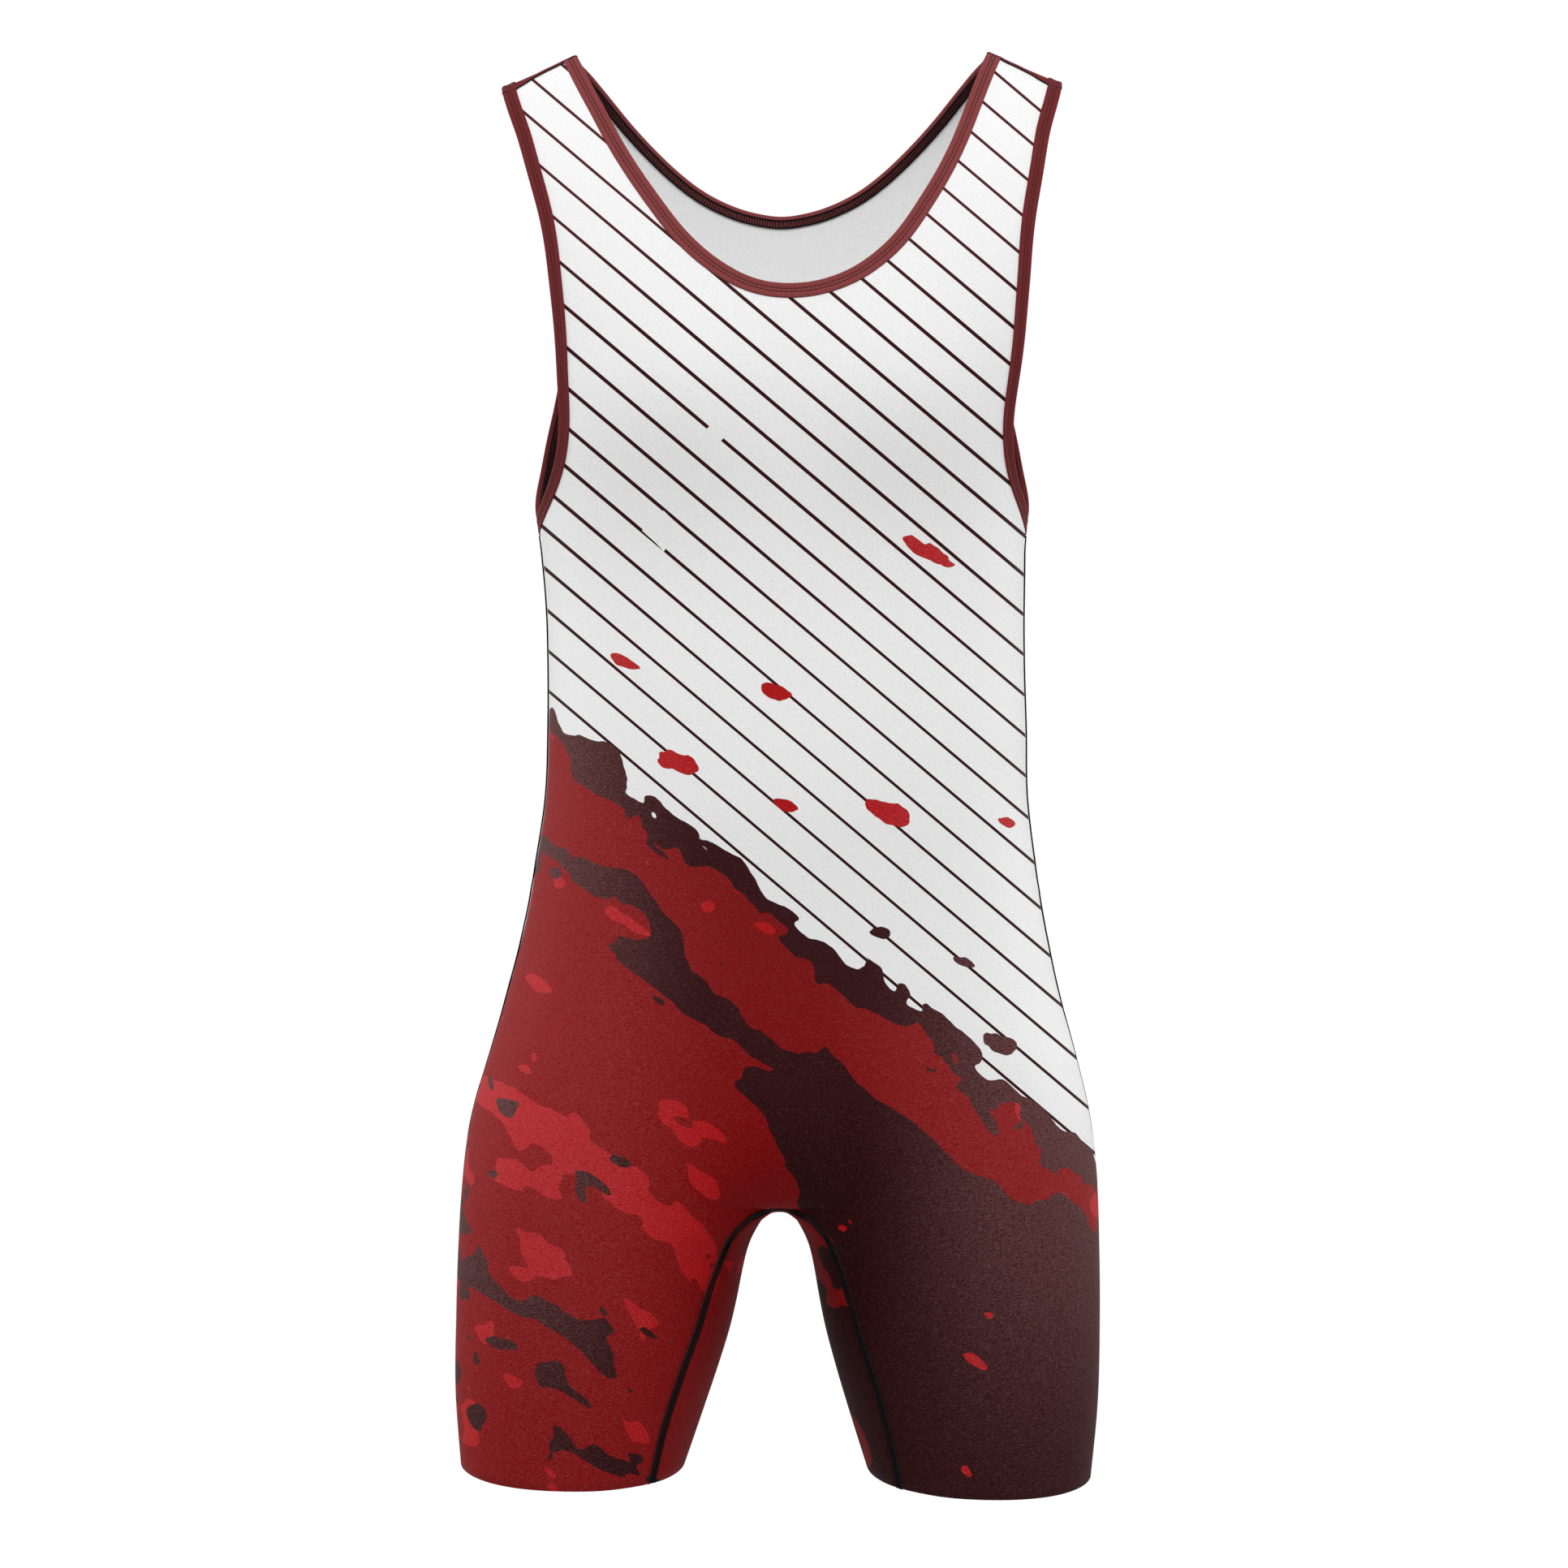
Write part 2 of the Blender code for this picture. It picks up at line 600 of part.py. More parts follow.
def tape_mesh(skin, stations):
    # A folded tape round a closed edge; each station is the edge point and the point inside it
    mesh = bmesh.new()
    section = tape_section()
    pairs = [(skin.vert_at(edge), skin.vert_at(inside)) for edge, inside in stations]
    rings = []
    for edge, inside in pairs:
        ring = []
        for share, height in section:
            normal = edge.normal.lerp(inside.normal, share).normalized()
            ring.append(mesh.verts.new((edge.co.lerp(inside.co, share) + normal * height) * MM))
        rings.append(ring)
    for k, ring in enumerate(rings):
        after = rings[(k + 1) % len(rings)]
        (edge, inside), (next_edge, next_inside) = pairs[k], pairs[(k + 1) % len(rings)]
        edge_first = crosses_short(edge, inside, next_inside, next_edge)
        for i, (share, height) in enumerate(section):
            j = (i + 1) % len(section)
            # Cut along the same way as the cloth under it
            if edge_first == (share <= section[j][0]):
                mesh.faces.new((ring[i], ring[j], after[j]))
                mesh.faces.new((ring[i], after[j], after[i]))
            else:
                mesh.faces.new((ring[i], ring[j], after[i]))
                mesh.faces.new((ring[j], after[j], after[i]))
    return mesh


def ring_stations(taped, edge, sides):
    # Joins the front and back strips of a taped edge into one closed ring, for one or both sides
    posed_strips = {}
    for name in (FRONT, BACK):
        for side in sides:
            strip = taped[edge, name, side]
            posed_strips[name, side] = [tuple(posed(p, side) for p in pair) for pair in strip]
    first, last = sides[0], sides[-1]
    stations = list(posed_strips[FRONT, first])
    if first == last:
        return stations + posed_strips[BACK, first][-2:0:-1]
    stations += posed_strips[FRONT, last][-2::-1]
    stations += posed_strips[BACK, last][1:]
    return stations + posed_strips[BACK, first][-2:0:-1]


def finish(name, mesh, colour, roughness):
    # Makes the object, with its facets facing out, and gives it its material
    if mesh.calc_volume(signed=True) < 0:
        bmesh.ops.reverse_faces(mesh, faces=mesh.faces)
    data = bpy.data.meshes.new(name)
    mesh.to_mesh(data)
    mesh.free()
    data.shade_smooth()
    data.set_sharp_from_angle(angle=math.radians(SHARP_ANGLE))
    item = bpy.data.objects.new(name, data)
    bpy.context.scene.collection.objects.link(item)
    material = bpy.data.materials.new(name)
    material.use_nodes = True
    shader = material.node_tree.nodes["Principled BSDF"]
    shader.inputs["Base Color"].default_value = (*colour, 1)
    shader.inputs["Roughness"].default_value = roughness
    shader.inputs["Metallic"].default_value = 0.0
    data.materials.append(material)


def build():
    for item in list(bpy.data.objects):
        bpy.data.objects.remove(item)
    skin, taped = build_skin()
    finish("front_panel", panel_mesh(skin, FRONT_PIECE), WHITE_KNIT, KNIT_ROUGHNESS)
    finish("back_panel", panel_mesh(skin, BACK_PIECE), RED_KNIT, KNIT_ROUGHNESS)
    stations = ring_stations(taped, "neck", (1, -1))
    finish("neck_binding", tape_mesh(skin, stations), BRICK_TAPE, TAPE_ROUGHNESS)
    for side, name in ((1, "armhole_binding_left"), (-1, "armhole_binding_right")):
        stations = ring_stations(taped, "armhole", (side,))
        finish(name, tape_mesh(skin, stations), BRICK_TAPE, TAPE_ROUGHNESS)
    skin.mesh.free()


build()
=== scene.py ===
import math

import bmesh
import bpy
import numpy as np
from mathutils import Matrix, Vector
from mathutils.bvhtree import BVHTree
from mathutils.kdtree import KDTree


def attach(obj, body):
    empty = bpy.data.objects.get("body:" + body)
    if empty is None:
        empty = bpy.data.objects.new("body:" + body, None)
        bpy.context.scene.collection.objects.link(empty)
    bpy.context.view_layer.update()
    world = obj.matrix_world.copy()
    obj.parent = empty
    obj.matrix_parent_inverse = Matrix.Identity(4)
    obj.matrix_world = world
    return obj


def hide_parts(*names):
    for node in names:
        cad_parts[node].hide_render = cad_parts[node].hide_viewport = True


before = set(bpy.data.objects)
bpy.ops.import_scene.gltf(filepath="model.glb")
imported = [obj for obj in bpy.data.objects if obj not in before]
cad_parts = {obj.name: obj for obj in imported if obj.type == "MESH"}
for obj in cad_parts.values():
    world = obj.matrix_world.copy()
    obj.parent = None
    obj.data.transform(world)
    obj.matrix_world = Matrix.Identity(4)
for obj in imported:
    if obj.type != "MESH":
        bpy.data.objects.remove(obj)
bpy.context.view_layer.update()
mm = 0.001
print("frame loaded:", ", ".join(sorted(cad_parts)))

# The cloth: one smooth sheet over both panels, sewn together along their seams

clothChoices = {
    "thickness": 0.9 * mm,
    "steps": 2,               # each step cuts every facet in four
    "weld": 0.01 * mm,
    "seamReach": 0.6 * mm,    # borders this near each other are sewn together
    "rimAngle": 0.9,          # a turn sharper than this is a cut edge
    "hemRound": 0.3 * mm,
    "fitRounds": 2,
    "rimRings": 3,            # rows beside a cut edge that are only moved outwards
    # soft relief of the front, in millimetres: how far out from the middle and how high it lies,
    # its reach across and up, and how far it comes forward
    "relief": (
        (68, -215, 38, 32, 5.5), (58, -312, 45, 36, -4.0), (0, -442, 105, 46, 4.0),
    ),
}


def outsideOf(node, fore):
    # The outer sheet of a panel, reached from its foremost facet without crossing a cut edge
    solid = bmesh.new()
    solid.from_mesh(node.data)
    bmesh.ops.remove_doubles(solid, verts=solid.verts, dist=clothChoices["weld"])
    bmesh.ops.triangulate(solid, faces=solid.faces)
    solid.normal_update()
    seed = max(solid.faces, key=lambda face: fore * face.calc_center_median().y)
    reached = {seed}
    waiting = [seed]
    while waiting:
        face = waiting.pop()
        for edge in face.edges:
            if len(edge.link_faces) == 2 and edge.calc_face_angle() < clothChoices["rimAngle"]:
                for other in edge.link_faces:
                    if other not in reached:
                        reached.add(other)
                        waiting.append(other)
    points = []
    places = {}
    tris = []
    for face in sorted(reached, key=lambda face: face.index):
        for vert in face.verts:
            if vert.index not in places:
                places[vert.index] = len(points)
                points.append(vert.co[:])
        tris.append([places[vert.index] for vert in face.verts])
    solid.free()
    return np.array(points), np.array(tris)


def edgesOf(tris):
    # Every edge once, where each side of each triangle finds it, and how many triangles it has
    sides = np.concatenate([tris[:, [0, 1]], tris[:, [1, 2]], tris[:, [2, 0]]])
    edges, where, count = np.unique(np.sort(sides, 1), axis=0, return_inverse=True, return_counts=True)
    return edges, where.reshape(-1), count


def sewn(frontSheet, backSheet):
    # Both sheets as one, with the borders that meet at a seam made common
    points = np.concatenate([frontSheet[0], backSheet[0]])
    first = len(frontSheet[0])
    tris = np.concatenate([frontSheet[1], backSheet[1] + first])
    edges, where, count = edgesOf(tris)
    rim = np.unique(edges[count == 1])
    frontRim = rim[rim < first]
    tree = KDTree(len(frontRim))
    for place, index in enumerate(frontRim):
        tree.insert(points[index], place)
    tree.balance()
    same = np.arange(len(points))
    for index in rim[rim >= first]:
        spot, place, distance = tree.find(points[index])
        if distance < clothChoices["seamReach"]:
            partner = frontRim[place]
            points[partner] = (points[partner] + points[index]) / 2
            same[index] = partner
    kept, packed = np.unique(same, return_inverse=True)
    owner = np.repeat([0, 1], [len(frontSheet[1]), len(backSheet[1])])
    return points[kept], packed.reshape(-1)[tris], owner


def smoothStep(points, tris):
    # Cuts each triangle in four and rounds the sheet, its borders by themselves
    edges, where, count = edgesOf(tris)
    border = count == 1
    opposite = np.zeros((len(edges), 3))
    np.add.at(opposite, where, points[np.concatenate([tris[:, 2], tris[:, 0], tris[:, 1]])])
    ends = points[edges].sum(1)
    middles = np.where(border[:, None], ends / 2, ends * 3 / 8 + opposite / 8)
    around = np.zeros_like(points)
    valence = np.zeros(len(points))
    rimAround = np.zeros_like(points)
    onRim = np.zeros(len(points), bool)
    for here, there in ((0, 1), (1, 0)):
        np.add.at(around, edges[:, here], points[edges[:, there]])
        np.add.at(valence, edges[:, here], 1)
        np.add.at(rimAround, edges[border, here], points[edges[border, there]])
    onRim[edges[border]] = True
    pull = 3 / (8 * np.maximum(valence, 3))
    inner = points * (1 - valence * pull)[:, None] + around * pull[:, None]
    moved = np.where(onRim[:, None], points * 3 / 4 + rimAround / 8, inner)
    ab, bc, ca = where.reshape(3, -1) + len(points)
    a, b, c = tris.T
    finer = np.concatenate([np.stack(t, 1) for t in ((a, ab, ca), (b, bc, ab), (c, ca, bc), (ab, bc, ca))])
    return np.concatenate([moved, middles]), finer


def smoothSheet(points, tris, owner):
    # The smooth sheet that still passes through the panels' own points
    edges, where, count = edgesOf(tris)
    onRim = np.zeros(len(points), bool)
    onRim[edges[count == 1]] = True
    byRim = onRim.copy()
    for ring in range(clothChoices["rimRings"]):
        byRim[edges[byRim[edges].any(1)]] = True
    byRim &= ~onRim
    normals = normalsOf(points, tris)
    cage = points.copy()
    for attempt in range(clothChoices["fitRounds"] + 1):
        fine, fineTris = cage, tris
        for step in range(clothChoices["steps"]):
            fine, fineTris = smoothStep(fine, fineTris)
        if attempt < clothChoices["fitRounds"]:
            missing = points - fine[:len(points)]
            outwards = normals * (missing * normals).sum(1)[:, None]
            cage += np.where(byRim[:, None], outwards, missing)
    return fine, fineTris, np.tile(owner, 4 ** clothChoices["steps"])


def relief(points, normals):
    # The points of the front brought forward where the chest and belly fill it
    x, y, z = points.T / mm
    rise = np.zeros(len(points))
    for out, height, wide, tall, forward in clothChoices["relief"]:
        across = (np.abs(x) - out) / wide
        if out == 0:
            across = x / wide
        rise += forward * np.exp(-(across ** 2 + ((z - height) / tall) ** 2) / 2)
    moved = points.copy()
    moved[:, 1] -= rise * mm * np.clip(-normals[:, 1], 0, 1)
    return moved


def normalsOf(points, tris):
    corners = points[tris]
    flat = np.cross(corners[:, 1] - corners[:, 0], corners[:, 2] - corners[:, 0])
    normals = np.zeros_like(points)
    for k in range(3):
        np.add.at(normals, tris[:, k], flat)
    return unit(normals)


def unit(vectors):
    return vectors / np.maximum(np.linalg.norm(vectors, axis=-1, keepdims=True), 1e-12)


def chainsOf(edges):
    # Edges joined end to end into lines, each with whether it closes on itself
    near = {}
    for a, b in edges.tolist():
        near.setdefault(a, []).append(b)
        near.setdefault(b, []).append(a)
    left = set(near)
    chains = []
    for start in sorted(near, key=lambda v: (len(near[v]) != 1, v)):
        if start not in left:
            continue
        line = [start]
        left.discard(start)
        while True:
            onward = [v for v in near[line[-1]] if v in left]
            if not onward:
                break
            line.append(onward[0])
            left.discard(onward[0])
        chains.append((line, len(line) > 2 and line[0] in near[line[-1]]))
    return chains


frontSheet = outsideOf(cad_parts["front_panel"], -1)
backSheet = outsideOf(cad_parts["back_panel"], 1)
cagePoints, cageTris, cageOwner = sewn(frontSheet, backSheet)
skinPoints, skinTris, skinOwner = smoothSheet(cagePoints, cageTris, cageOwner)
skinPoints = relief(skinPoints, normalsOf(skinPoints, skinTris))
skinNormals = normalsOf(skinPoints, skinTris)
skinTree = BVHTree.FromPolygons(skinPoints.tolist(), skinTris.tolist())
skinEdges, skinWhere, skinCount = edgesOf(skinTris)
ownerSum = np.zeros(len(skinEdges))
np.add.at(ownerSum, skinWhere, np.tile(skinOwner, 3))
openEdges = skinEdges[skinCount == 1]
seamEdges = skinEdges[(skinCount == 2) & (ownerSum == 1)]
print("cloth smoothed:", len(skinTris), "facets")


# Lines on the cloth, for the tapes and the sewing

lineChoices = {"spacing": 2.5 * mm, "tapePull": 1.3 * mm}


class Line:
    # A line on the cloth at even spacing, with the normal and the way across at each point
    def __init__(self, indices, closed, inwards=None):
        points = skinPoints[indices]
        normals = skinNormals[indices]
        if closed:
            points = np.concatenate([points, points[:1]])
            normals = np.concatenate([normals, normals[:1]])
        lengths = np.concatenate([[0], np.cumsum(np.linalg.norm(np.diff(points, axis=0), axis=1))])
        self.length = lengths[-1]
        self.closed = closed
        count = max(2, round(self.length / lineChoices["spacing"]))
        self.arcs = np.linspace(0, self.length, count + 1)
        self.points = self.spread(lengths, points, self.arcs)
        self.normals = unit(self.spread(lengths, normals, self.arcs))
        along = np.gradient(self.points, axis=0)
        if closed:
            along[0] = along[-1] = self.points[1] - self.points[-2]
        self.across = unit(np.cross(self.normals, along))
        if inwards is not None:
            hint = inwards[indices]
            hint = np.concatenate([hint, hint[:1]]) if closed else hint
            if (self.across * self.spread(lengths, hint, self.arcs)).sum() < 0:
                self.across = -self.across

    def spread(self, lengths, values, arcs):
        return np.stack([np.interp(arcs, lengths, values[:, k]) for k in range(3)], 1)

    def beside(self, reach, height=0.0, free=0.0):
        # The line moved across by reach and up by height; past the free part it lies on the cloth
        moved = self.points + self.across * reach
        if reach > free or (reach < 0 and free < 0):
            moved = np.array([skinTree.find_nearest(Vector(p))[0][:] for p in moved])
        return moved + self.normals * height

    def at(self, values, arcs):
        # Values of the line's points at other lengths along it, round and round where it closes
        arcs = np.mod(arcs, self.length) if self.closed else np.clip(arcs, 0, self.length)
        return np.stack([np.interp(arcs, self.arcs, values[:, k]) for k in range(3)], -1)


inwardHints = np.zeros_like(skinPoints)
borderSide = skinCount[skinWhere] == 1
sideEnds = skinEdges[skinWhere[borderSide]]
thirds = np.concatenate([skinTris[:, 2], skinTris[:, 0], skinTris[:, 1]])[borderSide]
for k in range(2):
    np.add.at(inwardHints, sideEnds[:, k], skinPoints[thirds] - skinPoints[sideEnds[:, k]])

neckLine = None
armLines = {}
hemRims = []
for indices, closed in chainsOf(openEdges):
    middle = skinPoints[indices].mean(0)
    if middle[2] < -0.7:
        hemRims += indices
    elif abs(middle[0]) < 0.03:
        neckLine = Line(indices, closed, inwardHints)
    else:
        armLines["left" if middle[0] > 0 else "right"] = Line(indices, closed, inwardHints)
shoulderLines = {}
sideLines = {}
inseamLine = None
for indices, closed in chainsOf(seamEdges):
    middle = skinPoints[indices].mean(0)
    side = "left" if middle[0] > 0 else "right"
    if middle[2] > -0.1:
        shoulderLines[side] = Line(indices, closed)
    elif abs(middle[0]) > 0.1:
        sideLines[side] = Line(indices, closed)
    else:
        inseamLine = Line(indices, closed)
print("lines found: neck", round(neckLine.length, 3), "m, inseam", round(inseamLine.length, 3), "m")


# Shader maths

class Wire:
    # A socket that takes part in sums
    def __init__(self, tree, socket):
        self.tree = tree
        self.socket = socket

    def node(self, kind, settings, values, output=0):
        made = self.tree.nodes.new(kind)
        for key, value in settings.items():
            if key == "stops":
                ramp = made.color_ramp
                while len(ramp.elements) < len(value):
                    ramp.elements.new(1.0)
                for element, (place, colour) in zip(ramp.elements, value):
                    element.position = place
                    element.color = (*colour, 1)
            else:
                setattr(made, key, value)
        for key, value in values.items():
            if isinstance(value, Wire):
                self.tree.links.new(value.socket, made.inputs[key])
            else:
                made.inputs[key].default_value = value
        return Wire(self.tree, made.outputs[output])

    def maths(self, operation, a, b=0.0):
        return self.node("ShaderNodeMath", {"operation": operation}, {0: a, 1: b})

    def __add__(self, other):
        return self.maths("ADD", self, other)

    def __radd__(self, other):
        return self.maths("ADD", other, self)

    def __sub__(self, other):
        return self.maths("SUBTRACT", self, other)

    def __rsub__(self, other):
        return self.maths("SUBTRACT", other, self)

    def __mul__(self, other):
        return self.maths("MULTIPLY", self, other)

    def __rmul__(self, other):
        return self.maths("MULTIPLY", other, self)

    def __truediv__(self, other):
        return self.maths("DIVIDE", self, other)

    def __rtruediv__(self, other):
        return self.maths("DIVIDE", other, self)

    def over(self, start, width):
        # 0 below start and 1 a width above it, softly between
        return self.node("ShaderNodeMapRange", {"interpolation_type": "SMOOTHSTEP"},
                         {"Value": self, "From Min": start, "From Max": start + width})

    def noise(self, x, y, z, detail=1.0, distortion=0.0, seed=0.0):
        place = self.node("ShaderNodeCombineXYZ", {}, {"X": x, "Y": y, "Z": z})
        return self.node("ShaderNodeTexNoise", {"noise_dimensions": "4D"},
                         {"Vector": place, "W": seed, "Scale": 1.0, "Detail": detail,
                          "Distortion": distortion})

    def blendColour(self, other, share):
        # This colour turned into the other by a share
        return self.node("ShaderNodeMix", {"data_type": "RGBA"}, {0: share, 6: self, 7: other}, 2)


def newMaterial(name, roughness, sheen=0.0, sheenTint=(1, 1, 1)):
    material = bpy.data.materials.new(name)
    material.use_nodes = True
    shader = material.node_tree.nodes["Principled BSDF"]
    shader.inputs["Roughness"].default_value = roughness
    shader.inputs["Specular IOR Level"].default_value = 0.04
    shader.inputs["Sheen Weight"].default_value = sheen
    shader.inputs["Sheen Roughness"].default_value = 0.30
    shader.inputs["Sheen Tint"].default_value = (*sheenTint, 1)
    coords = material.node_tree.nodes.new("ShaderNodeTexCoord")
    split = material.node_tree.nodes.new("ShaderNodeSeparateXYZ")
    material.node_tree.links.new(coords.outputs["Object"], split.inputs[0])
    axes = [Wire(material.node_tree, split.outputs[k]) for k in range(3)]
    return material, shader, axes


def plug(wire, shader, socket):
    wire.tree.links.new(wire.socket, shader.inputs[socket])


knitChoices = {
    "rowPitch": 1.15 * mm,
    "dashLength": 1.5 * mm,
    "dashHeight": 0.6 * mm,
    "bump": 0.12 * mm,
    "fleck": 0.12,             # how much the yarns differ in lightness
}


def knitDashes(x, y, z):
    # Short level dashes of yarn, from 0 in the holes to 1 on top
    wide = 1 / knitChoices["dashLength"]
    tall = 1 / knitChoices["dashHeight"]
    dashes = x.noise(x * wide, y * wide, z * tall, detail=1.5)
    rows = x.maths("SINE", z * (2 * math.pi / knitChoices["rowPitch"]))
    return (dashes - 0.5) * 2.2 + rows * 0.12 + 0.5


def dressKnit(material, shader, axes, colour):
    # Lays the knit's relief and flecks over a colour
    dashes = knitDashes(*axes)
    share = knitChoices["fleck"]
    light = (dashes - 0.5) * share + 1.0
    grey = light.node("ShaderNodeCombineColor", {}, {0: light, 1: light, 2: light})
    flecked = colour.node("ShaderNodeMix", {"data_type": "RGBA", "blend_type": "MULTIPLY"},
                          {0: 1.0, 6: colour, 7: grey}, 2)
    plug(flecked, shader, "Base Color")
    bump = dashes.node("ShaderNodeBump", {}, {"Strength": 0.6, "Distance": knitChoices["bump"],
                                              "Height": dashes})
    plug(bump, shader, "Normal")


def plainColour(wire, colour):
    return wire.node("ShaderNodeMix", {"data_type": "RGBA"}, {0: 0.0, 6: (*colour, 1), 7: (*colour, 1)}, 2)


printChoices = {
    "white": (0.80, 0.80, 0.80),
    "stripe": (0.034, 0.006, 0.007),
    "strapStripe": (0.075, 0.016, 0.017),
    # each dye with painted shade low between the legs, its own colour higher up, and with painted sheen
    # over the sides
    "red": ((0.196, 0.0010, 0.0015), (0.194, 0.0065, 0.0070), (0.266, 0.020, 0.021)),
    "brightRed": ((0.385, 0.0025, 0.004), (0.385, 0.0075, 0.0095), (0.445, 0.032, 0.036)),
    "dark": ((0.024, 0.0020, 0.0028), (0.036, 0.0065, 0.0075), (0.114, 0.044, 0.044)),
    "backRed": (0.170, 0.018, 0.018),
    "glint": 0.016,              # how much light the tops of the yarns catch
    "viewDistance": 1.6,        # from here the print's lines look straight
    "viewHeight": -0.43,
    "stripeSlope": 0.846,
    "stripeSpacing": 18.0 * mm,
    "stripeWidth": 1.72 * mm,
    "stripeMore": 0.50 * mm,     # wider than that over the chest
    "stripeShift": 8.9 * mm,
    "blockSlope": 0.806,        # the slant of the edge between white and red
    "blockEdge": -69.4 * mm,
    "soft": 0.5 * mm,
    # where the lines are worn away: across, up and how far
    "worn": (
        (0.058, 0.252, 0.0052), (-0.041, 0.206, 0.0075), (0.012, 0.158, 0.0034), (-0.070, 0.150, 0.0120),
    ),
    # drops of paint on the white: beside the edge, up from it, length, thickness, and dark or red
    "drops": (
        (-0.118, 0.052, 0.0085, 0.0035, 0), (-0.060, 0.024, 0.0120, 0.0060, 0),
        (-0.034, 0.096, 0.0095, 0.0050, 0), (0.010, 0.046, 0.0070, 0.0034, 0),
        (0.058, 0.078, 0.0130, 0.0075, 0), (0.100, 0.022, 0.0060, 0.0038, 1),
        (0.150, 0.040, 0.0058, 0.0030, 1), (-0.020, 0.215, 0.0150, 0.0048, 0),
        (0.118, 0.120, 0.0052, 0.0028, 0), (0.196, 0.015, 0.0100, 0.0052, 1),
    ),
}


def cover(wire, edge, soft):
    # 1 where a field is over an edge, crisp like print
    return wire.over(edge - soft / 2, soft)


